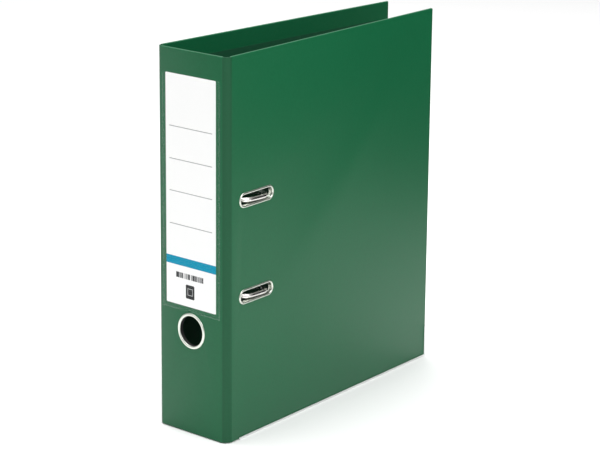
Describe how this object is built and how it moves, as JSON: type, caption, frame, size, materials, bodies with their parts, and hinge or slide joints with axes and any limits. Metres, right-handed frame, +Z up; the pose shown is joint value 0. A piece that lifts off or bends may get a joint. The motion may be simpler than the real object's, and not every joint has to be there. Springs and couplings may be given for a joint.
{
  "type": "lever arch file",
  "caption": "Green film-covered lever arch file, shut and standing, with a labelled spine, a finger ring, slotted front cover, and a lever mechanism with arches and posts inside.",
  "frame": {"origin": "under the middle of the standing file, on the surface it stands on", "axes": "+Z up along the spine; +X from the rear cover to the front cover; +Y from the spine to the fore-edge, so the spine's face looks along -Y"},
  "size_m": [0.0791, 0.2894, 0.318],
  "materials": {
    "green_film": "finely grained plastic film, satin",
    "green_lining": "smooth plastic film, satin",
    "grey_board": "rough grey board",
    "guard_steel": "bright nickel-plated sheet",
    "eyelet_steel": "polished nickel",
    "arch_wire": "polished nickel-plated wire",
    "plate_steel": "bright plated sheet",
    "spring_steel": "plain spring wire",
    "black_plastic": "moulded, fine texture",
    "roller_plastic": "moulded acetal",
    "label_card": "smooth white card with printed lines",
    "pocket_film": "clear glossy film"
  },
  "bodies": {
    "spine": {"spine_board": "grey_board", "spine_skin": "green_film", "spine_lining": "green_lining", "finger_ring": "eyelet_steel", "finger_ring_washer": "eyelet_steel", "spine_label": "label_card", "label_pocket": "pocket_film", "front_hinge": "green_film", "rear_hinge": "green_film"},
    "front_cover": {"front_board": "grey_board", "front_skin": "green_film", "front_lining": "green_lining", "front_edge_guard": "guard_steel", "upper_slot_ring": "eyelet_steel", "lower_slot_ring": "eyelet_steel", "upper_slot_washer": "eyelet_steel", "lower_slot_washer": "eyelet_steel"},
    "rear_cover": {"rear_board": "grey_board", "rear_skin": "green_film", "rear_lining": "green_lining", "rear_edge_guard": "guard_steel", "base_plate": "plate_steel", "plate_rivets": "plate_steel", "upper_post": "plate_steel", "lower_post": "plate_steel", "arch_spring": "spring_steel", "lever_pin": "plate_steel"},
    "arches": {"arch": "arch_wire"},
    "lever": {"lever": "plate_steel", "roller_pin": "plate_steel"},
    "roller": {"roller": "roller_plastic"},
    "compressor": {"compressor_bar": "black_plastic"},
    "catch": {"compressor_catch": "black_plastic"}
  },
  "joints": [
    {"name": "rear_cover_hinge", "type": "hinge", "parent": "spine", "child": "rear_cover", "pos_m": [-0.0358, -0.1408, 0.159], "axis": [0, 0, 1], "range_deg": [0, 90], "deforming": ["rear_hinge"]},
    {"name": "front_cover_hinge", "type": "hinge", "parent": "spine", "child": "front_cover", "pos_m": [0.0372, -0.1408, 0.159], "axis": [0, 0, -1], "range_deg": [0, 175], "deforming": ["front_hinge"]},
    {"name": "arch_swing", "type": "hinge", "parent": "rear_cover", "child": "arches", "pos_m": [-0.0307, -0.1218, 0.158], "axis": [0, 0, -1], "range_deg": [0, 75], "deforming": ["arch_spring"]},
    {"name": "lever_lift", "type": "hinge", "parent": "rear_cover", "child": "lever", "pos_m": [-0.01669, -0.1078, 0.158], "axis": [0, -1, 0], "range_deg": [0, 100]},
    {"name": "roller_spin", "type": "hinge", "parent": "lever", "child": "roller", "pos_m": [-0.0244, -0.1078, 0.14881], "axis": [0, 1, 0], "continuous": true},
    {"name": "compressor_slide", "type": "slide", "parent": "rear_cover", "child": "compressor", "axis": [1, 0, 0], "range_m": [0, 0.038]},
    {"name": "catch_slide", "type": "slide", "parent": "compressor", "child": "catch", "axis": [0, 0, 1], "range_m": [0, 0.004]}
  ],
  "couplings": [
    {"joint": "arch_swing", "follows": "rear_cover_hinge", "ratio": 0.8333},
    {"joint": "lever_lift", "follows": "rear_cover_hinge", "ratio": 1.1111}
  ]
}
